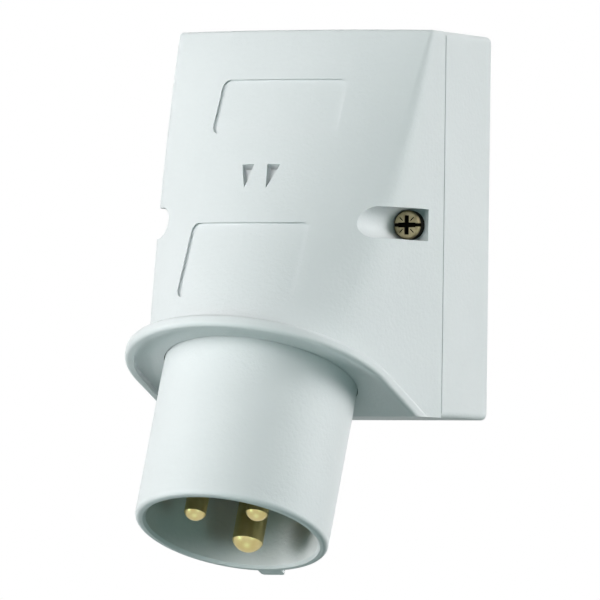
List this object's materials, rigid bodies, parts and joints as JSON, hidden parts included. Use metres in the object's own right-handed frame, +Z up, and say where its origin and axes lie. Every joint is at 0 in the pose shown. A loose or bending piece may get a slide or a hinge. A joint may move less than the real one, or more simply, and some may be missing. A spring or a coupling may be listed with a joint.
{
  "type": "appliance inlet",
  "caption": "Wall-mounted grey plastic power inlet: shallow box, sloping hood with a flange lip, and a round shroud with brass pins that points down and forward.",
  "frame": {"origin": "centre of the wall box's back face, on the wall", "axes": "+Y points into the wall, +Z up, +X across; the front looks along -Y and the shroud points down and forward"},
  "size_m": [0.0638, 0.0886, 0.1235],
  "materials": {
    "grey_plastic": "moulded, fine satin texture",
    "dark_plastic": "moulded, plain",
    "pin_brass": "turned, bare",
    "passivated_steel": "zinc plated, yellow passivated",
    "plain_steel": "zinc plated",
    "seal_rubber": "moulded rubber"
  },
  "bodies": {
    "root": {"wall_box": "grey_plastic", "hood_cover": "grey_plastic", "inlet_shroud": "grey_plastic", "contact_carrier": "dark_plastic", "line_pin": "pin_brass", "neutral_pin": "pin_brass", "earth_pin": "pin_brass", "cover_screws": "passivated_steel", "carrier_screws": "plain_steel", "terminal_screws": "plain_steel", "cover_gasket": "seal_rubber", "shroud_seal": "seal_rubber", "cable_grommet": "seal_rubber"}
  },
  "joints": []
}
